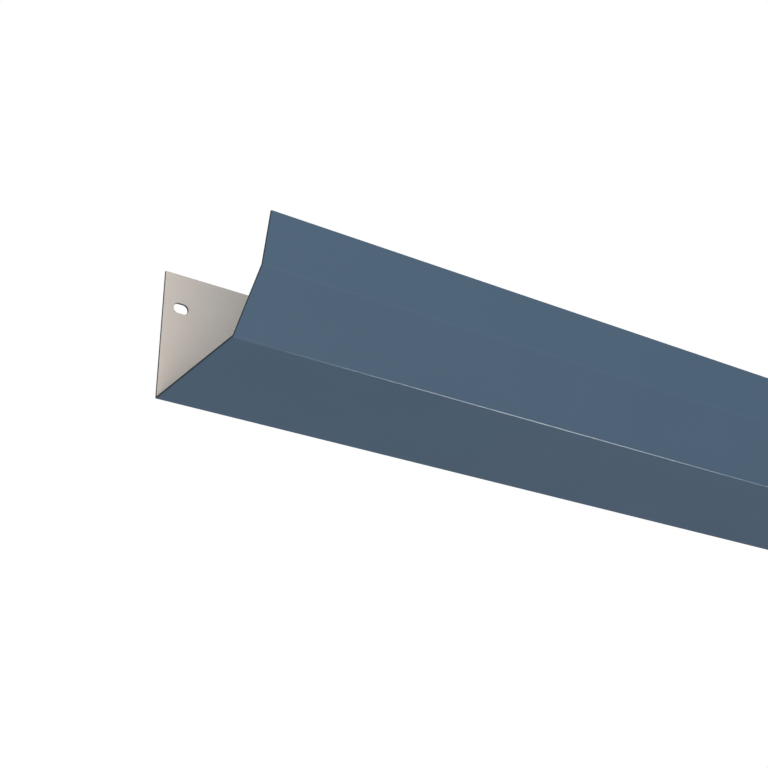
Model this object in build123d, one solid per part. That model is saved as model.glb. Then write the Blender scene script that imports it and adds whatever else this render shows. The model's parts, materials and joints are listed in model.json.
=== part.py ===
from build123d import *
from math import cos, radians, sin
import os

# Stock
stock_length = 2000.0
sheet_thickness = 1.5
bend_inner_radius = 0.5

# Outer widths of the four flat strips of the section, from sharp corner to sharp corner
back_height = 88.0
bottom_width = 100.0
lower_front_width = 43.5
upper_front_width = 31.0

# Angles of the two front strips above the level, in degrees
lower_front_angle = 45.0
upper_front_angle = 75.0

# Fixing slots, punched in a row through the back plate with their long side level
slot_count = 6
slot_length = 10.0
slot_width = 7.0
slot_to_stock_end = 12.0
slot_to_top_edge = 23.5


def strip_end(start, width, angle):
    """Point in (Y, Z) where a strip ends that runs forwards (-Y) and upwards from start."""
    return (start[0] - width * cos(radians(angle)), start[1] + width * sin(radians(angle)))


# Corners of the outer face in (Y, Z), with the wall face at Y = 0 and the underside at Z = 0
top_edge = (0.0, back_height)
back_corner = (0.0, 0.0)
front_corner = (-bottom_width, 0.0)
front_kink = strip_end(front_corner, lower_front_width, lower_front_angle)
front_lip = strip_end(front_kink, upper_front_width, upper_front_angle)

# The origin is midway along the stock and midway between the wall face and the front lip
overall_depth = -front_lip[0]
wall_face_y = overall_depth / 2
outer_corners = [
    (y + wall_face_y, z)
    for y, z in (top_edge, back_corner, front_corner, front_kink, front_lip)
]

# Slot row: the end slots keep their distance to the cut ends, the others stand evenly between
slot_pitch = (stock_length - 2 * slot_to_stock_end) / (slot_count - 1)
slot_height = back_height - slot_to_top_edge
wall_face = Plane(origin=(0, wall_face_y, slot_height), x_dir=(1, 0, 0), z_dir=(0, 1, 0))

with BuildPart() as gutter:
    # The folded section: its outer face with rounded bends, and the inner face one sheet inside it
    with BuildSketch(Plane.YZ) as section:
        with BuildLine():
            outer_face = FilletPolyline(*outer_corners, radius=bend_inner_radius + sheet_thickness)
            offset(outer_face, amount=sheet_thickness, side=Side.RIGHT)
        make_face()
    extrude(amount=stock_length / 2, both=True)

    with BuildSketch(wall_face):
        with GridLocations(slot_pitch, slot_pitch, slot_count, 1):
            SlotOverall(slot_length, slot_width)
    extrude(amount=-sheet_thickness, mode=Mode.SUBTRACT)

os.makedirs("parts", exist_ok=True)
export_step(gutter.part, "parts/gutter_section.step")
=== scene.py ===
"""Looks of a gutter section folded from coil-coated sheet, with a punched wall plate."""

import json
import logging
from dataclasses import dataclass, field
from enum import Enum
from math import cos, pi, radians, sin, tan

import bpy
from mathutils import Euler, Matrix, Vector

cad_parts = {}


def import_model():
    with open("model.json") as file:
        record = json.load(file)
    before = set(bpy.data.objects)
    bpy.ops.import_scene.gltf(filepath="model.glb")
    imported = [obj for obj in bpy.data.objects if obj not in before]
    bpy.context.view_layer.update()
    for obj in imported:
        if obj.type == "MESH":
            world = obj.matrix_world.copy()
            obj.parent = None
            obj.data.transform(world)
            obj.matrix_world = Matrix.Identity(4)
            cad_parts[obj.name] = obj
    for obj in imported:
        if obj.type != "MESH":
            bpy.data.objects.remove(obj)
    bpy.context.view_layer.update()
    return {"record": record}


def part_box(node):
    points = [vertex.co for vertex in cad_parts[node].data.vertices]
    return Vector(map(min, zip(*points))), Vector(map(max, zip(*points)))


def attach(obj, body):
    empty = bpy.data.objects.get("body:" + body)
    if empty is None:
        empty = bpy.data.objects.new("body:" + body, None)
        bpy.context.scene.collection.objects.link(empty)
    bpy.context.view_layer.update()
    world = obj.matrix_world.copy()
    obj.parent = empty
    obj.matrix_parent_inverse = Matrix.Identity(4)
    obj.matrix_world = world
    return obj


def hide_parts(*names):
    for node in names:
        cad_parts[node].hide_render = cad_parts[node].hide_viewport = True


LOG = logging.getLogger("gutter")
NODE = "gutter_section"
BODY = "root"
DEVELOPED_MAP = "developed"
DEPTH_ATTRIBUTE = "sheet_depth"


class Side(Enum):
    """The kinds of surface on the folded strip."""

    OUTSIDE = "Outside Coat"
    INSIDE = "Inside Coat"
    CUT = "Cut Edge"


class NodeBoard:
    """A node tree with short ways to place nodes, set their inputs and wire them."""

    def __init__(self, tree: bpy.types.NodeTree) -> None:
        """Keeps the tree.

        Args:
            tree: The node tree that the nodes go into.
        """
        self.tree = tree

    def add(self, kind: str, inputs: dict | None = None, **settings: object) -> bpy.types.Node:
        """Places one node.

        Args:
            kind: The node's type name.
            inputs: Values or sockets for its inputs, by name or index.
            settings: The node's own settings.

        Returns:
            The new node.
        """
        node = self.tree.nodes.new(kind)
        for name, value in settings.items():
            setattr(node, name, value)
        for key, value in (inputs or {}).items():
            self.feed(node.inputs[key], value)
        return node

    def feed(self, socket: bpy.types.NodeSocket, value: object) -> None:
        """Links a socket to the input, or sets the input's own value.

        Args:
            socket: The input socket.
            value: A socket to link, or a plain value.
        """
        if isinstance(value, bpy.types.NodeSocket):
            self.tree.links.new(value, socket)
        else:
            socket.default_value = value

    def math(self, operation: str, *values: object) -> bpy.types.NodeSocket:
        """Places a math node of either kind of tree.

        Args:
            operation: The node's operation.
            values: Its inputs, in order.

        Returns:
            The result socket.
        """
        node = self.add("ShaderNodeMath", dict(enumerate(values)), operation=operation)
        return node.outputs[0]

    def vector(self, x: object = 0.0, y: object = 0.0, z: object = 0.0) -> bpy.types.NodeSocket:
        """Joins three values to a vector and returns its socket."""
        return self.add("ShaderNodeCombineXYZ", {0: x, 1: y, 2: z}).outputs[0]

    def fit(self, value: object, low: float, high: float, out_low: float, out_high: float
            ) -> bpy.types.NodeSocket:
        """Maps a range smoothly onto another one.

        Args:
            value: The value or socket to map.
            low: The start of its range.
            high: The end of its range.
            out_low: The result at the start.
            out_high: The result at the end.

        Returns:
            The result socket.
        """
        node = self.add("ShaderNodeMapRange", interpolation_type="SMOOTHSTEP")
        for index, number in enumerate((value, low, high, out_low, out_high)):
            self.feed(node.inputs[index], number)
        return node.outputs[0]


@dataclass(frozen=True)
class SectionSizes:
    """The folded section's own sizes, in metres and degrees."""

    sheet_thickness: float = 0.0015
    bend_inner_radius: float = 0.0005
    lower_front_width: float = 0.0435
    lower_front_angle: float = 45.0
    upper_front_width: float = 0.031
    upper_front_angle: float = 75.0
    bend_steps: int = 14
    edge_rounding: float = 0.00005
    edge_steps: int = 2
    sharp_from: float = 60.0

    @property
    def bend_radius(self) -> float:
        """Radius of a bend on the outside."""
        return self.bend_inner_radius + self.sheet_thickness

    def bend_trim(self, turn: float) -> float:
        """How far a bend of that turn, in degrees, reaches back from its sharp corner."""
        return self.bend_radius * tan(radians(turn) / 2)

    def bend_arc(self, turn: float) -> float:
        """Length of the outer face along a bend of that turn, in degrees."""
        return self.bend_radius * radians(turn)


@dataclass
class FoldedStrip:
    """The gutter: one strip of coated sheet, punched along its back and folded three times."""

    low: Vector
    high: Vector
    bottom_width: float
    slot_width: float
    slot_length: float
    slot_height: float
    slot_pitch: float
    slot_count: int
    sizes: SectionSizes = field(default_factory=SectionSizes)
    flat_weight: int = 100

    @classmethod
    def from_frame(cls, record: dict) -> "FoldedStrip":
        """Takes the strip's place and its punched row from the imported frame.

        Args:
            record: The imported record.

        Returns:
            The strip, ready to build.
        """
        low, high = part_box(NODE)
        mounts = {mount["name"]: mount for mount in record["mounts"]}
        slot = mounts["inner_slots"]
        pitch = slot["dims"]["spacing_x_mm"] / 1000
        end_spacing = mounts["end_slots"]["dims"]["spacing_x_mm"] / 1000
        return cls(
            low=low,
            high=high,
            bottom_width=2 * (high.y - mounts["underside"]["pos_m"][1]),
            slot_width=2 * slot["dims"]["hole_r_mm"] / 1000,
            slot_length=slot["dims"]["slot_length_mm"] / 1000,
            slot_height=slot["pos_m"][2],
            slot_pitch=pitch,
            slot_count=round(end_spacing / pitch) + 1,
        )

    @property
    def length(self) -> float:
        """Length of the stock."""
        return self.high.x - self.low.x

    @property
    def back_height(self) -> float:
        """Height of the back plate."""
        return self.high.z - self.low.z

    def outer_corners(self) -> list[Vector]:
        """Works out the sharp corners of the outer face at the near end.

        Returns:
            The corners, from the top edge to the front lip.
        """
        size = self.sizes
        corners = [
            Vector((self.low.x, self.high.y, self.high.z)),
            Vector((self.low.x, self.high.y, self.low.z)),
            Vector((self.low.x, self.high.y - self.bottom_width, self.low.z)),
        ]
        for width, angle in (
            (size.lower_front_width, size.lower_front_angle),
            (size.upper_front_width, size.upper_front_angle),
        ):
            step = Vector((0, -width * cos(radians(angle)), width * sin(radians(angle))))
            corners.append(corners[-1] + step)
        return corners

    def bend_lines(self) -> list[tuple[float, float]]:
        """Where the bends lie on the unfolded strip.

        Returns:
            For each bend, the distance of its middle from the top edge, measured along the outer
            face, and half its length there.
        """
        size = self.sizes
        kink = size.upper_front_angle - size.lower_front_angle
        turns = (90.0, size.lower_front_angle, kink)
        widths = (self.back_height, self.bottom_width, size.lower_front_width)
        lines = []
        travelled = 0.0
        trimmed = 0.0
        for width, turn in zip(widths, turns):
            travelled += width - trimmed - size.bend_trim(turn)
            half = size.bend_arc(turn) / 2
            lines.append((travelled + half, half))
            travelled += 2 * half
            trimmed = size.bend_trim(turn)
        return lines

    @property
    def developed_width(self) -> float:
        """Width of the strip before it was folded, measured on its outer face.

        Returns:
            The width.
        """
        last_middle, last_half = self.bend_lines()[-1]
        kink = self.sizes.upper_front_angle - self.sizes.lower_front_angle
        return last_middle + last_half + self.sizes.upper_front_width - self.sizes.bend_trim(kink)

    def cut_margin(self, board: "FinishBoard", effects: "SheetEffects", reach: float
                   ) -> bpy.types.NodeSocket:
        """Places the mask of the strip's cut edges in a material.

        Args:
            board: The material's board.
            effects: The shared shader groups.
            reach: How far the mask reaches from a cut.

        Returns:
            The mask, 1 at a cut.
        """
        node = board.add(
            "ShaderNodeGroup",
            {
                "Place": board.place,
                "Distance": board.distance,
                "Half Length": self.length / 2,
                "Strip Width": self.developed_width,
                "Slot Pitch": self.slot_pitch,
                "Slot Distance": self.high.z - self.slot_height,
                "Slot Spread": (self.slot_length - self.slot_width) / 2,
                "Slot Radius": self.slot_width / 2,
                "Reach": reach,
            },
            node_tree=effects.margin,
        )
        return node.outputs["Margin"]

    def path_mesh(self, finishes: dict[Side, bpy.types.Material]) -> bpy.types.Mesh:
        """The section as a chain of edges through its sharp outer corners.

        Its material slots stand in the order that the folded mesh has: an empty one, then the
        kinds of surface.

        Args:
            finishes: The material of each kind of surface.

        Returns:
            The mesh.
        """
        corners = self.outer_corners()
        mesh = bpy.data.meshes.new("section_path")
        edges = [(index, index + 1) for index in range(len(corners) - 1)]
        mesh.from_pydata(corners, edges, [])
        for finish in (None, *finishes.values()):
            mesh.materials.append(finish)
        return mesh

    def fold_values(self, finishes: dict[Side, bpy.types.Material]) -> dict[str, object]:
        """Lists what the folding tree is given for its named inputs.

        Args:
            finishes: The material of each kind of surface.

        Returns:
            The values by the names of the inputs.
        """
        return {
            "Length": self.length,
            "Thickness": self.sizes.sheet_thickness,
            "Bend Radius": self.sizes.bend_radius,
            "Bend Steps": self.sizes.bend_steps,
            "Back Height": self.back_height,
            "Wall Y": self.high.y,
            "Slot Count": self.slot_count,
            "Slot Pitch": self.slot_pitch,
            "Slot Length": self.slot_length,
            "Slot Width": self.slot_width,
            "Slot Height": self.slot_height,
            **{side.value: finish for side, finish in finishes.items()},
        }

    def build(self, finishes: dict[Side, bpy.types.Material]) -> bpy.types.Object:
        """Folds the strip, makes it a plain mesh and puts it in the node's place.

        Args:
            finishes: The material of each kind of surface.

        Returns:
            The finished piece.
        """
        template = bpy.data.objects.new("section_template", self.path_mesh(finishes))
        bpy.context.scene.collection.objects.link(template)
        tree = FoldingTree().build()
        fold = template.modifiers.new("Fold", "NODES")
        fold.node_group = tree
        values = self.fold_values(finishes)
        for item in tree.interface.items_tree:
            if item.in_out == "INPUT" and item.name in values:
                fold[item.identifier] = values[item.name]
        rounded = template.modifiers.new("Sheared edges are a little rounded", "BEVEL")
        rounded.width = self.sizes.edge_rounding
        rounded.segments = self.sizes.edge_steps
        rounded.limit_method = "ANGLE"
        rounded.angle_limit = radians(self.sizes.sharp_from)
        rounded.material = template.data.materials.find(finishes[Side.CUT].name)
        rounded.use_clamp_overlap = False
        smooth = template.modifiers.new("Flat strips stay flat", "WEIGHTED_NORMAL")
        smooth.mode = "FACE_AREA"
        smooth.weight = self.flat_weight
        graph = bpy.context.evaluated_depsgraph_get()
        mesh = bpy.data.meshes.new_from_object(
            template.evaluated_get(graph), preserve_all_data_layers=True, depsgraph=graph
        )
        bpy.data.objects.remove(template)
        mesh.materials.pop(index=0)
        piece = bpy.data.objects.new("folded_strip", mesh)
        bpy.context.scene.collection.objects.link(piece)
        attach(piece, BODY)
        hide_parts(NODE)
        return piece


class FoldingTree:
    """Geometry nodes that punch a strip, fold it along a section path and give it thickness."""

    SIZES = (
        "Length", "Thickness", "Bend Radius", "Back Height", "Wall Y",
        "Slot Pitch", "Slot Length", "Slot Width", "Slot Height",
    )
    COUNTS = ("Bend Steps", "Slot Count")
    MERGE = 1e-6
    ROUND_STEPS = 48
    PLATE_SHARE = 0.75

    def __init__(self) -> None:
        """Makes the empty tree with its named inputs."""
        tree = bpy.data.node_groups.new("Punched and folded strip", "GeometryNodeTree")
        tree.is_modifier = True
        sockets = tree.interface
        sockets.new_socket("Geometry", in_out="INPUT", socket_type="NodeSocketGeometry")
        for name in self.SIZES:
            sockets.new_socket(name, in_out="INPUT", socket_type="NodeSocketFloat")
        for name in self.COUNTS:
            sockets.new_socket(name, in_out="INPUT", socket_type="NodeSocketInt")
        for side in Side:
            sockets.new_socket(side.value, in_out="INPUT", socket_type="NodeSocketMaterial")
        sockets.new_socket("Geometry", in_out="OUTPUT", socket_type="NodeSocketGeometry")
        self.board = NodeBoard(tree)
        self.given = self.board.add("NodeGroupInput").outputs

    def developed(self, shape: bpy.types.NodeSocket, distance: bpy.types.NodeSocket
                  ) -> bpy.types.NodeSocket:
        """Stores each point's distance from the top edge, measured on the unfolded strip.

        Args:
            shape: The geometry.
            distance: The distance, as a field.

        Returns:
            The geometry with the attribute.
        """
        node = self.board.add(
            "GeometryNodeStoreNamedAttribute",
            {"Geometry": shape, "Name": DEVELOPED_MAP + "_distance", "Value": distance},
            data_type="FLOAT", domain="POINT",
        )
        return node.outputs[0]

    def distance(self) -> bpy.types.NodeSocket:
        """Reads that distance back.

        Returns:
            The distance, as a field.
        """
        node = self.board.add(
            "GeometryNodeInputNamedAttribute",
            {"Name": DEVELOPED_MAP + "_distance"}, data_type="FLOAT",
        )
        return node.outputs["Attribute"]

    def bent_sheet(self) -> bpy.types.NodeSocket:
        """Makes the strip's outer face along its rounded section, without its flat back plate.

        Returns:
            The geometry.
        """
        board, given = self.board, self.given
        path = board.add("GeometryNodeMeshToCurve", {"Mesh": given["Geometry"]})
        rounded = board.add(
            "GeometryNodeFilletCurve",
            {"Curve": path.outputs[0], "Count": given["Bend Steps"], "Radius": given["Bend Radius"]},
            mode="POLY",
        )
        along = board.add("GeometryNodeSplineParameter").outputs["Length"]
        measured = self.developed(rounded.outputs[0], along)
        edges = board.add("GeometryNodeCurveToMesh", {"Curve": measured})
        swept = board.add(
            "GeometryNodeExtrudeMesh",
            {"Mesh": edges.outputs[0], "Offset": board.vector(given["Length"]), "Offset Scale": 1.0},
            mode="EDGES",
        )
        flat = board.math("SUBTRACT", given["Back Height"], given["Bend Radius"])
        on_plate = board.math("LESS_THAN", self.distance(), board.math("MULTIPLY", flat, self.PLATE_SHARE))
        rest = board.add(
            "GeometryNodeDeleteGeometry",
            {"Geometry": swept.outputs["Mesh"], "Selection": on_plate},
            domain="FACE",
        )
        return rest.outputs[0]

    def slot_outline(self) -> bpy.types.NodeSocket:
        """Makes one slot's outline: a circle whose halves are drawn apart along the strip.

        Returns:
            The outline, as a curve.
        """
        board, given = self.board, self.given
        radius = board.math("MULTIPLY", given["Slot Width"], 0.5)
        circle = board.add(
            "GeometryNodeCurvePrimitiveCircle",
            {"Resolution": self.ROUND_STEPS, "Radius": radius}, mode="RADIUS",
        )
        turned = board.add(
            "GeometryNodeTransform",
            {"Geometry": circle.outputs[0], "Rotation": (0.0, 0.0, pi / self.ROUND_STEPS)},
        )
        place = board.add("ShaderNodeSeparateXYZ", {0: board.add("GeometryNodeInputPosition").outputs[0]})
        spread = board.math("SUBTRACT", given["Slot Length"], given["Slot Width"])
        shift = board.math("MULTIPLY", board.math("SIGN", place.outputs["X"]),
                           board.math("MULTIPLY", spread, 0.5))
        drawn = board.add(
            "GeometryNodeSetPosition",
            {"Geometry": turned.outputs[0], "Offset": board.vector(shift)},
        )
        return drawn.outputs[0]

    def punched_plate(self) -> bpy.types.NodeSocket:
        """Makes the flat back plate's outer face with its row of slots, stood up at the wall.

        Returns:
            The geometry.
        """
        board, given = self.board, self.given
        flat = board.math("SUBTRACT", given["Back Height"], given["Bend Radius"])
        middle = board.math("MULTIPLY", board.math("ADD", given["Back Height"], given["Bend Radius"]), 0.5)
        blank = board.add(
            "GeometryNodeCurvePrimitiveQuadrilateral",
            {"Width": given["Length"], "Height": flat}, mode="RECTANGLE",
        )
        raised = board.add(
            "GeometryNodeTransform",
            {"Geometry": blank.outputs[0], "Translation": board.vector(0.0, middle)},
        )
        spaces = board.math("SUBTRACT", given["Slot Count"], 1.0)
        start = board.math("MULTIPLY", board.math("MULTIPLY", given["Slot Pitch"], spaces), -0.5)
        row = board.add(
            "GeometryNodeMeshLine",
            {
                "Count": given["Slot Count"],
                "Start Location": board.vector(start, given["Slot Height"]),
                "Offset": board.vector(given["Slot Pitch"]),
            },
            mode="OFFSET",
        )
        slots = board.add(
            "GeometryNodeInstanceOnPoints",
            {"Points": row.outputs[0], "Instance": self.slot_outline()},
        )
        outlines = board.add("GeometryNodeJoinGeometry")
        board.feed(outlines.inputs[0], raised.outputs[0])
        board.feed(outlines.inputs[0], board.add(
            "GeometryNodeRealizeInstances", {0: slots.outputs[0]}).outputs[0])
        plate = board.add("GeometryNodeFillCurve", {0: outlines.outputs[0]}, mode="NGONS")
        stood = board.add(
            "GeometryNodeTransform",
            {
                "Geometry": plate.outputs[0],
                "Translation": board.vector(0.0, given["Wall Y"]),
                "Rotation": (pi / 2, 0.0, 0.0),
            },
        )
        height = board.add("ShaderNodeSeparateXYZ", {0: board.add("GeometryNodeInputPosition").outputs[0]})
        distance = board.math("SUBTRACT", given["Back Height"], height.outputs["Z"])
        outward = board.add("GeometryNodeFlipFaces", {0: self.developed(stood.outputs[0], distance)})
        return outward.outputs[0]

    def mapped(self, shape: bpy.types.NodeSocket) -> bpy.types.NodeSocket:
        """Adds the UV map: place along the stock, and distance from the top edge unfolded.

        Args:
            shape: The geometry, with the stored distance.

        Returns:
            The geometry with the map.
        """
        board = self.board
        place = board.add("ShaderNodeSeparateXYZ", {0: board.add("GeometryNodeInputPosition").outputs[0]})
        node = board.add(
            "GeometryNodeStoreNamedAttribute",
            {
                "Geometry": shape,
                "Name": DEVELOPED_MAP,
                "Value": board.vector(place.outputs["X"], self.distance()),
            },
            data_type="FLOAT2", domain="CORNER",
        )
        return node.outputs[0]

    def build(self) -> bpy.types.NodeTree:
        """Wires the whole tree.

        Returns:
            The finished tree.
        """
        board, given = self.board, self.given
        joined = board.add("GeometryNodeJoinGeometry")
        board.feed(joined.inputs[0], self.bent_sheet())
        board.feed(joined.inputs[0], self.punched_plate())
        outer = board.add("GeometryNodeMergeByDistance", {0: joined.outputs[0], "Distance": self.MERGE})
        face = self.mapped(outer.outputs[0])
        thickened = board.add(
            "GeometryNodeExtrudeMesh",
            {"Mesh": face, "Offset Scale": board.math("MULTIPLY", given["Thickness"], -1.0),
             "Individual": False},
            mode="FACES",
        )
        deep = board.add(
            "GeometryNodeStoreNamedAttribute",
            {"Geometry": thickened.outputs["Mesh"], "Name": DEPTH_ATTRIBUTE,
             "Value": thickened.outputs["Top"]},
            data_type="FLOAT", domain="POINT",
        )
        turned = board.add("GeometryNodeFlipFaces", {0: deep.outputs[0]})
        both = board.add("GeometryNodeJoinGeometry")
        board.feed(both.inputs[0], face)
        board.feed(both.inputs[0], turned.outputs[0])
        solid = board.add("GeometryNodeMergeByDistance", {0: both.outputs[0], "Distance": self.MERGE})
        smooth = board.add(
            "GeometryNodeSetShadeSmooth", {0: solid.outputs[0], "Shade Smooth": True}, domain="FACE"
        )
        shape = board.add("GeometryNodeRealizeInstances", {0: smooth.outputs[0]}).outputs[0]
        selections = {
            Side.OUTSIDE: True,
            Side.INSIDE: thickened.outputs["Top"],
            Side.CUT: thickened.outputs["Side"],
        }
        for side, selection in selections.items():
            shape = board.add(
                "GeometryNodeSetMaterial",
                {0: shape, "Selection": selection, "Material": given[side.value]},
            ).outputs[0]
        board.add("NodeGroupOutput", {0: shape})
        return board.tree


class EffectBoard(NodeBoard):
    """A shader node group under construction, with named inputs and outputs."""

    KINDS = {"Place": "NodeSocketVector"}

    def __init__(self, name: str, inputs: tuple[str, ...], outputs: tuple[str, ...]) -> None:
        """Makes the group and its sockets.

        Args:
            name: The group's name.
            inputs: Names of its inputs; the one called Place is a vector, the others are values.
            outputs: Names of its outputs, all of them values.
        """
        super().__init__(bpy.data.node_groups.new(name, "ShaderNodeTree"))
        for label in inputs:
            kind = self.KINDS.get(label, "NodeSocketFloat")
            self.tree.interface.new_socket(label, in_out="INPUT", socket_type=kind)
        for label in outputs:
            self.tree.interface.new_socket(label, in_out="OUTPUT", socket_type="NodeSocketFloat")
        self.given = self.add("NodeGroupInput").outputs
        self.result = self.add("NodeGroupOutput").inputs

    def noise(self, place: bpy.types.NodeSocket, detail: float = 2.0) -> bpy.types.NodeSocket:
        """Places a noise that runs from about -1 to 1 and has cells of one unit.

        Args:
            place: Where it is read.
            detail: Its number of octaves.

        Returns:
            The noise's value.
        """
        noise = self.add("ShaderNodeTexNoise", {"Vector": place, "Scale": 1.0, "Detail": detail})
        return self.math("MULTIPLY_ADD", noise.outputs[0], 2.0, -1.0)


class SheetEffects:
    """What more than one finish of the sheet shows, each as one shader node group."""

    LINE_DETAIL = 4.0
    CLOUD_DETAIL = 3.0
    FULL_STRETCH_HIGHLIGHT_UNTIL = 0.6
    STRETCH_HIGHLIGHT_UNTIL = 1.9

    def __init__(self) -> None:
        """Builds the groups once."""
        self.grain = self.coil_grain()
        self.stretch_and_highlight = self.bend_stretch_and_highlight()
        self.margin = self.cut_margin()

    def coil_grain(self) -> bpy.types.NodeTree:
        """Makes the relief and tone that a coating roller leaves: peel, lines and clouds.

        Returns:
            The shader group.
        """
        board = EffectBoard(
            "Coil grain",
            ("Place", "Peel Size", "Peel Height", "Line Spacing", "Line Length", "Line Height",
             "Cloud Size"),
            ("Height", "Lines", "Clouds"),
        )
        given = board.given
        spot = board.add("ShaderNodeSeparateXYZ", {0: given["Place"]})
        peel_scale = board.math("DIVIDE", 1.0, given["Peel Size"])
        peel_place = board.add(
            "ShaderNodeVectorMath", {0: given["Place"], "Scale": peel_scale}, operation="SCALE")
        peel = board.noise(peel_place.outputs[0])
        line_place = board.vector(
            board.math("DIVIDE", spot.outputs["X"], given["Line Length"]),
            board.math("DIVIDE", spot.outputs["Y"], given["Line Spacing"]),
        )
        lines = board.noise(line_place, self.LINE_DETAIL)
        cloud_scale = board.math("DIVIDE", 1.0, given["Cloud Size"])
        cloud_place = board.add(
            "ShaderNodeVectorMath", {0: given["Place"], "Scale": cloud_scale}, operation="SCALE")
        clouds = board.noise(cloud_place.outputs[0], self.CLOUD_DETAIL)
        line_relief = board.math("MULTIPLY", lines, given["Line Height"])
        relief = board.math("MULTIPLY_ADD", peel, given["Peel Height"], line_relief)
        board.feed(board.result["Height"], relief)
        board.feed(board.result["Lines"], lines)
        board.feed(board.result["Clouds"], clouds)
        return board.tree

    def bend_stretch_and_highlight(self) -> bpy.types.NodeTree:
        """Makes the mask of one bend, where the coat is stretched and painted lighter as a highlight: full
        there, fading beside it.

        Returns:
            The shader group.
        """
        board = EffectBoard("Bend stretch and painted highlight", ("Distance", "Middle", "Half Length"), ("Stretch And Highlight",))
        given = board.given
        away = board.math("ABSOLUTE", board.math("SUBTRACT", given["Distance"], given["Middle"]))
        share = board.math("DIVIDE", away, given["Half Length"])
        stretch_and_highlight = board.fit(share, self.FULL_STRETCH_HIGHLIGHT_UNTIL, self.STRETCH_HIGHLIGHT_UNTIL, 1.0, 0.0)
        board.feed(board.result["Stretch And Highlight"], stretch_and_highlight)
        return board.tree

    def cut_margin(self) -> bpy.types.NodeTree:
        """Makes the mask of the cut edges: 1 at ends, long edges and slots, 0 beyond the reach.

        Returns:
            The shader group.
        """
        board = EffectBoard(
            "Cut margin",
            ("Place", "Distance", "Half Length", "Strip Width", "Slot Pitch", "Slot Distance",
             "Slot Spread", "Slot Radius", "Reach"),
            ("Margin",),
        )
        given = board.given
        spot = board.add("ShaderNodeSeparateXYZ", {0: given["Place"]})
        to_end = board.math(
            "SUBTRACT", given["Half Length"], board.math("ABSOLUTE", spot.outputs["X"]))
        to_lip = board.math("SUBTRACT", given["Strip Width"], given["Distance"])
        turn = board.math("FRACT", board.math("DIVIDE", spot.outputs["X"], given["Slot Pitch"]))
        beside = board.math("MULTIPLY", board.math("SUBTRACT", turn, 0.5), given["Slot Pitch"])
        past = board.math("SUBTRACT", board.math("ABSOLUTE", beside), given["Slot Spread"])
        along = board.math("MAXIMUM", past, 0.0)
        across = board.math("SUBTRACT", given["Distance"], given["Slot Distance"])
        middle = board.add(
            "ShaderNodeVectorMath", {0: board.vector(along, across)}, operation="LENGTH")
        to_slot = board.math("SUBTRACT", middle.outputs["Value"], given["Slot Radius"])
        nearest = board.math("MINIMUM", to_end, given["Distance"])
        for other in (to_lip, to_slot):
            nearest = board.math("MINIMUM", nearest, other)
        share = board.math("DIVIDE", nearest, given["Reach"])
        board.feed(board.result["Margin"], board.fit(share, 0.0, 1.0, 1.0, 0.0))
        return board.tree


class FinishBoard(NodeBoard):
    """A material of the sheet under construction, with its places and its shader."""

    def __init__(self, name: str) -> None:
        """Makes the material.

        Args:
            name: The material's name.
        """
        self.material = bpy.data.materials.new(name)
        self.material.use_nodes = True
        super().__init__(self.material.node_tree)
        self.shader = self.tree.nodes["Principled BSDF"]
        self.place = self.add("ShaderNodeTexCoord").outputs["Object"]
        self.flat_place = self.add("ShaderNodeUVMap", uv_map=DEVELOPED_MAP).outputs[0]
        self.distance = self.add("ShaderNodeSeparateXYZ", {0: self.flat_place}).outputs["Y"]

    def blend(self, share: object, first: object, second: object) -> bpy.types.NodeSocket:
        """Mixes two colours.

        Args:
            share: How much of the second one.
            first: The first colour.
            second: The second colour.

        Returns:
            The mixed colour.
        """
        node = self.add("ShaderNodeMix", data_type="RGBA")
        self.feed(node.inputs["Factor"], share)
        for key, value in (("A", first), ("B", second)):
            socket = next(s for s in node.inputs if s.name == key and s.type == "RGBA")
            self.feed(socket, value if isinstance(value, bpy.types.NodeSocket) else (*value, 1.0))
        return next(s for s in node.outputs if s.type == "RGBA")

    def relief(self, height: bpy.types.NodeSocket) -> bpy.types.NodeSocket:
        """Turns a height in metres into a shading normal and returns its socket."""
        return self.add("ShaderNodeBump", {"Strength": 1.0, "Distance": 1.0, "Height": height}).outputs[0]


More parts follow.
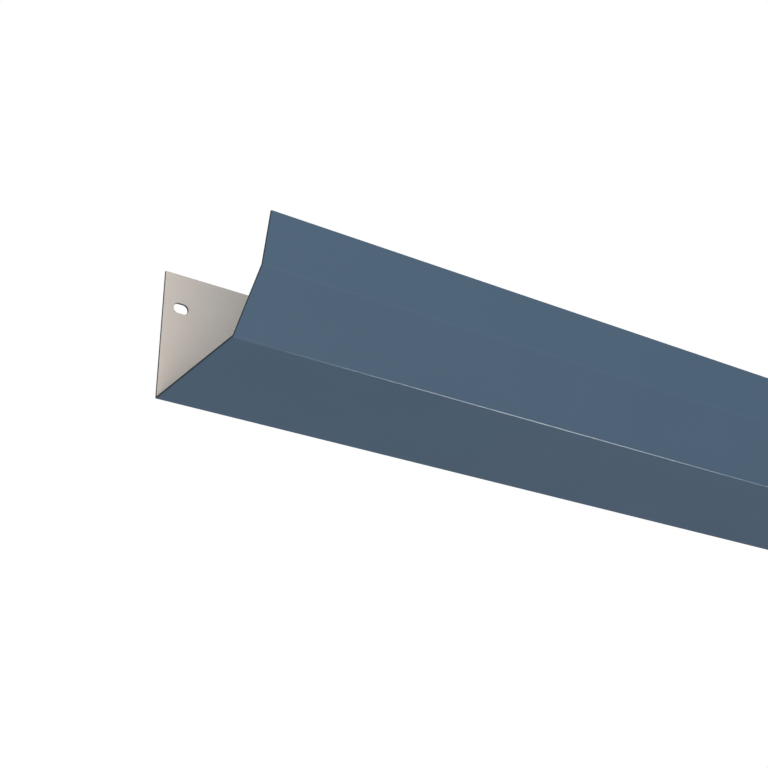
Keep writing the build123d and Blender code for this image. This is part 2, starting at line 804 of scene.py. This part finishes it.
@dataclass(frozen=True)
class CoatFinish:
    """A coil coat: a roller-laid lacquer, stretched along the bends and painted lighter there as a
    highlight, and darker close to the cuts.
    """

    name: str
    deep: tuple[float, float, float]
    light: tuple[float, float, float]
    stretched_and_highlight: tuple[float, float, float]
    # Colour that the coat darkens to within a short reach of the cut edges.
    drawn: tuple[float, float, float]
    roughness: float
    roughness_spread: float
    line_share: float
    peel_size: float
    peel_height: float
    line_spacing: float
    line_length: float
    line_height: float
    cloud_size: float = 0.06
    stretch_highlight_share: float = 0.35
    stretch_roughening: float = 0.05
    dark_margin_reach: float = 0.0006
    dark_margin_share: float = 0.6

    def build(self, effects: SheetEffects, strip: FoldedStrip) -> bpy.types.Material:
        """Makes the material.

        Args:
            effects: The shared shader groups.
            strip: The strip that wears the coat.

        Returns:
            The material.
        """
        board = FinishBoard(self.name)
        grain = board.add(
            "ShaderNodeGroup",
            {
                "Place": board.flat_place,
                "Peel Size": self.peel_size,
                "Peel Height": self.peel_height,
                "Line Spacing": self.line_spacing,
                "Line Length": self.line_length,
                "Line Height": self.line_height,
                "Cloud Size": self.cloud_size,
            },
            node_tree=effects.grain,
        ).outputs
        stretch_and_highlight = self.stretch_and_highlight(board, effects, strip)
        margin = strip.cut_margin(board, effects, self.dark_margin_reach)
        tone = board.math("MULTIPLY_ADD", grain["Lines"], self.line_share, grain["Clouds"])
        colour = board.blend(board.fit(tone, -1.0, 1.0, 0.0, 1.0), self.deep, self.light)
        # Lighter along the bends: stretched coat, and a painted highlight.
        colour = board.blend(board.math("MULTIPLY", stretch_and_highlight, self.stretch_highlight_share), colour, self.stretched_and_highlight)
        # Darker within a short reach of every cut edge.
        colour = board.blend(board.math("MULTIPLY", margin, self.dark_margin_share), colour, self.drawn)
        uneven = board.math("MULTIPLY_ADD", tone, self.roughness_spread, self.roughness)
        roughness = board.math("MULTIPLY_ADD", stretch_and_highlight, self.stretch_roughening, uneven)
        board.feed(board.shader.inputs["Base Color"], colour)
        board.feed(board.shader.inputs["Roughness"], roughness)
        board.feed(board.shader.inputs["Normal"], board.relief(grain["Height"]))
        return board.material

    def stretch_and_highlight(self, board: FinishBoard, effects: SheetEffects, strip: FoldedStrip
                ) -> bpy.types.NodeSocket:
        """Adds up the stretch and painted highlight of all the strip's bends.

        Args:
            board: The material's board.
            effects: The shared shader groups.
            strip: The strip with its bend lines.

        Returns:
            The stretch and painted highlight, 1 on a bend.
        """
        total = 0.0
        for middle, half in strip.bend_lines():
            bend = board.add(
                "ShaderNodeGroup",
                {"Distance": board.distance, "Middle": middle, "Half Length": half},
                node_tree=effects.stretch_and_highlight,
            )
            total = board.math("ADD", bend.outputs["Stretch And Highlight"], total)
        return total


@dataclass(frozen=True)
class ShearedEdge:
    """The bare cut through the sheet: a burnished band, a torn band and fine marks across, in near-black
    tones that paint the shade on the cut faces.
    """

    name: str
    burnished: tuple[float, float, float]
    torn: tuple[float, float, float]
    coat: tuple[float, float, float]
    coat_full_until: float = 0.025
    coat_until: float = 0.05
    burnished_until: float = 0.35
    band_softness: float = 0.06
    raggedness: float = 0.08
    burnished_roughness: float = 0.5
    torn_roughness: float = 0.7
    specular: float = 0.2
    mark_spacing: float = 0.0002
    stripe_spacing: float = 0.0006
    mark_height: float = 0.000004
    mark_from: float = -0.5
    mark_until: float = 0.8
    mark_share: float = 0.5
    stain_size: float = 0.012

    def build(self, effects: SheetEffects) -> bpy.types.Material:
        """Makes the material.

        Args:
            effects: The shared shader groups.

        Returns:
            The material.
        """
        board = FinishBoard(self.name)
        depth = board.add("ShaderNodeAttribute", attribute_name=DEPTH_ATTRIBUTE).outputs["Fac"]
        grain = board.add(
            "ShaderNodeGroup",
            {
                "Place": board.flat_place,
                "Peel Size": self.mark_spacing,
                "Peel Height": self.mark_height,
                "Line Spacing": self.stripe_spacing,
                "Line Length": self.stripe_spacing,
                "Line Height": self.mark_height,
                "Cloud Size": self.stain_size,
            },
            node_tree=effects.grain,
        ).outputs
        ragged = board.math("MULTIPLY_ADD", grain["Lines"], self.raggedness, depth)
        band_end = self.burnished_until
        torn = board.fit(ragged, band_end - self.band_softness, band_end + self.band_softness, 0.0, 1.0)
        steel = board.blend(torn, self.burnished, self.torn)
        marks = board.fit(grain["Lines"], self.mark_from, self.mark_until, 0.0, self.mark_share)
        marked = board.blend(marks, steel, self.burnished)
        skin = board.fit(depth, self.coat_full_until, self.coat_until, 1.0, 0.0)
        board.feed(board.shader.inputs["Base Color"], board.blend(skin, marked, self.coat))
        board.feed(board.shader.inputs["Specular IOR Level"], self.specular)
        board.feed(board.shader.inputs["Roughness"],
                   board.fit(torn, 0.0, 1.0, self.burnished_roughness, self.torn_roughness))
        board.feed(board.shader.inputs["Normal"], board.relief(grain["Height"]))
        return board.material


@dataclass(frozen=True)
class SoftTent:
    """Soft light from all round: the brightness and tint that each side of the studio gives."""

    right: tuple[float, float, float]
    left: tuple[float, float, float]
    back: tuple[float, float, float]
    front: tuple[float, float, float]
    above: tuple[float, float, float]
    below: tuple[float, float, float]
    narrowness: float = 2.0

    def glow(self, board: NodeBoard) -> bpy.types.NodeSocket:
        """The light from any direction, blended smoothly between the six sides.

        Args:
            board: The world's board.

        Returns:
            The light's colour.
        """
        coordinates = board.add("ShaderNodeTexCoord").outputs["Generated"]
        direction = board.add("ShaderNodeSeparateXYZ", {0: coordinates}).outputs
        sides = (
            ("X", 1.0, self.right), ("X", -1.0, self.left),
            ("Y", 1.0, self.back), ("Y", -1.0, self.front),
            ("Z", 1.0, self.above), ("Z", -1.0, self.below),
        )
        total = (0.0, 0.0, 0.0)
        for axis, sign, colour in sides:
            facing = board.math("MAXIMUM", board.math("MULTIPLY", direction[axis], sign), 0.0)
            share = board.math("POWER", facing, self.narrowness)
            spread = board.vector(share, share, share)
            total = board.add(
                "ShaderNodeVectorMath", {0: spread, 1: colour, 2: total}, operation="MULTIPLY_ADD"
            ).outputs[0]
        return total


@dataclass(frozen=True)
class SoftLamp:
    """A soft square lamp that the camera doesn't see."""

    name: str
    place: tuple[float, float, float]
    target: tuple[float, float, float]
    size: float
    power: float
    colour: tuple[float, float, float]

    def build(self, origin: Vector) -> bpy.types.Object:
        """Hangs the lamp.

        Args:
            origin: The point that its place and target are measured from.

        Returns:
            The lamp.
        """
        data = bpy.data.lights.new(self.name, "AREA")
        data.size = self.size
        data.energy = self.power
        data.color = self.colour
        lamp = bpy.data.objects.new(self.name, data)
        lamp.location = origin + Vector(self.place)
        lamp.rotation_euler = (Vector(self.target) - Vector(self.place)).to_track_quat("-Z", "Y").to_euler()
        lamp.visible_camera = False
        bpy.context.scene.collection.objects.link(lamp)
        return lamp


@dataclass(frozen=True)
class Studio:
    """Camera, floor and light."""

    near_corner: Vector
    camera_offset: Vector = Vector((-0.29705, -0.69715, -0.33509))
    yaw: float = 33.5378
    pitch: float = 24.865
    lens: float = 63.735
    sensor: float = 36.0
    far_limit: float = 100.0
    floor_gap: float = 0.0005
    floor_half: float = 12.0
    floor_solid_radius: float = 2.5
    floor_colour: tuple[float, float, float] = (0.55, 0.55, 0.55)
    floor_glow: float = 0.55
    tent: SoftTent = SoftTent(
        right=(0.006, 0.006, 0.006),
        left=(0.3, 0.32, 0.33),
        back=(0.16, 0.2, 0.25),
        front=(0.5, 0.56, 0.61),
        above=(0.78, 0.81, 0.85),
        below=(0.49, 0.49, 0.465),
    )
    lamps: tuple[SoftLamp, ...] = (
        SoftLamp(
            "key_lamp", place=(-1.54, -5.25, -2.47), target=(0.05, -0.05, 0.04),
            size=3.4, power=253.0, colour=(1.0, 0.884, 0.795),
        ),
        SoftLamp(
            "wall_lamp", place=(1.0, 2.2, 2.4), target=(1.0, 0.0, 0.05),
            size=1.5, power=100.0, colour=(1.0, 1.0, 1.0),
        ),
        SoftLamp(
            "bend_lamp", place=(5.6, 3.5, -6.25), target=(0.4, -0.1, 0.0),
            size=2.6, power=200.0, colour=(1.0, 1.0, 1.0),
        ),
    )

    def camera(self) -> bpy.types.Object:
        """Stands the camera where the photograph was taken from, low and to the left.

        Returns:
            The camera.
        """
        data = bpy.data.cameras.new("camera")
        data.lens = self.lens
        data.sensor_width = self.sensor
        data.clip_end = self.far_limit
        camera = bpy.data.objects.new("camera", data)
        camera.location = self.near_corner + self.camera_offset
        camera.rotation_euler = Euler((radians(90 + self.pitch), 0.0, radians(-self.yaw)))
        bpy.context.scene.collection.objects.link(camera)
        bpy.context.scene.camera = camera
        return camera

    def floor(self) -> bpy.types.Object:
        """Lays a pale floor under the stock, open to a view from below and fading out far away.

        Returns:
            The floor.
        """
        mesh = bpy.data.meshes.new("floor")
        half = self.floor_half
        level = -self.floor_gap
        corners = [(-half, -half, level), (half, -half, level), (half, half, level), (-half, half, level)]
        mesh.from_pydata(corners, [], [(0, 1, 2, 3)])
        floor = bpy.data.objects.new("floor", mesh)
        bpy.context.scene.collection.objects.link(floor)
        material = bpy.data.materials.new("pale_floor")
        material.use_nodes = True
        board = NodeBoard(material.node_tree)
        board.tree.nodes.clear()
        matt = board.add("ShaderNodeBsdfDiffuse", {"Color": (*self.floor_colour, 1.0)})
        glow = board.add("ShaderNodeEmission", {"Strength": self.floor_glow})
        pale = board.add("ShaderNodeAddShader", {0: matt.outputs[0], 1: glow.outputs[0]})
        clear = board.add("ShaderNodeBsdfTransparent")
        behind = board.add("ShaderNodeNewGeometry").outputs["Backfacing"]
        place = board.add("ShaderNodeTexCoord").outputs["Object"]
        away = board.add("ShaderNodeVectorMath", {0: place}, operation="LENGTH").outputs["Value"]
        faded = board.fit(away, self.floor_solid_radius, self.floor_half, 0.0, 1.0)
        open_share = board.math("MAXIMUM", behind, faded)
        mixed = board.add("ShaderNodeMixShader", {0: open_share, 1: pale.outputs[0], 2: clear.outputs[0]})
        board.add("ShaderNodeOutputMaterial", {"Surface": mixed.outputs[0]})
        mesh.materials.append(material)
        floor.visible_diffuse = False
        floor.visible_glossy = False
        floor.visible_transmission = False
        floor.visible_shadow = False
        return floor

    def light(self) -> None:
        """Lights the stock softly from all round, with a white backdrop for the camera."""
        world = bpy.data.worlds.new("studio")
        bpy.context.scene.world = world
        world.use_nodes = True
        board = NodeBoard(world.node_tree)
        board.tree.nodes.clear()
        seen = board.add("ShaderNodeBackground", {"Color": (1.0, 1.0, 1.0, 1.0), "Strength": 1.0})
        cast = board.add("ShaderNodeBackground", {"Color": self.tent.glow(board), "Strength": 1.0})
        direct = board.add("ShaderNodeLightPath").outputs["Is Camera Ray"]
        mixed = board.add("ShaderNodeMixShader", {0: direct, 1: cast.outputs[0], 2: seen.outputs[0]})
        board.add("ShaderNodeOutputWorld", {"Surface": mixed.outputs[0]})
        for lamp in self.lamps:
            lamp.build(self.near_corner)
        view = bpy.context.scene.view_settings
        view.view_transform = "Standard"
        view.look = "None"

    def build(self) -> None:
        """Sets up the camera, the floor and the light."""
        self.camera()
        self.floor()
        self.light()


OUTSIDE_COAT = CoatFinish(
    name="slate_blue_coat",
    deep=(0.0634, 0.112, 0.1778),
    light=(0.0676, 0.118, 0.186),
    # Lighter bend colour: a painted highlight along the folds.
    stretched_and_highlight=(0.075, 0.13, 0.20),
    drawn=(0.045, 0.085, 0.135),
    roughness=0.2,
    roughness_spread=0.015,
    line_share=0.3,
    peel_size=0.0011,
    peel_height=0.0000005,
    line_spacing=0.0024,
    line_length=0.12,
    line_height=0.0000002,
    stretch_roughening=0.0,
)
INSIDE_COAT = CoatFinish(
    name="beige_back_coat",
    deep=(0.554, 0.522, 0.485),
    light=(0.576, 0.543, 0.505),
    # Lighter bend colour: a painted highlight along the folds.
    stretched_and_highlight=(0.6, 0.57, 0.535),
    drawn=(0.38, 0.36, 0.335),
    roughness=0.45,
    roughness_spread=0.03,
    line_share=1.0,
    peel_size=0.0006,
    peel_height=0.0000008,
    line_spacing=0.0016,
    line_length=0.09,
    line_height=0.0000015,
)
SHADED_CUT_EDGE = ShearedEdge(
    name="shaded_cut_edge",
    # Near-black blue-grey tones: painted shade on the cut faces, far darker than bare steel.
    burnished=(0.05, 0.068, 0.084),
    torn=(0.036, 0.052, 0.068),
    coat=(0.034, 0.058, 0.08),
)


def main() -> None:
    """Builds the dressed gutter section in its studio."""
    logging.basicConfig(level=logging.INFO, format="%(name)s: %(message)s")
    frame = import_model()
    strip = FoldedStrip.from_frame(frame["record"])
    effects = SheetEffects()
    finishes = {
        Side.OUTSIDE: OUTSIDE_COAT.build(effects, strip),
        Side.INSIDE: INSIDE_COAT.build(effects, strip),
        Side.CUT: SHADED_CUT_EDGE.build(effects),
    }
    piece = strip.build(finishes)
    LOG.info("%s: %d faces", piece.name, len(piece.data.polygons))
    Studio(near_corner=Vector((strip.low.x, strip.high.y, strip.low.z))).build()


if __name__ == "__main__":
    main()
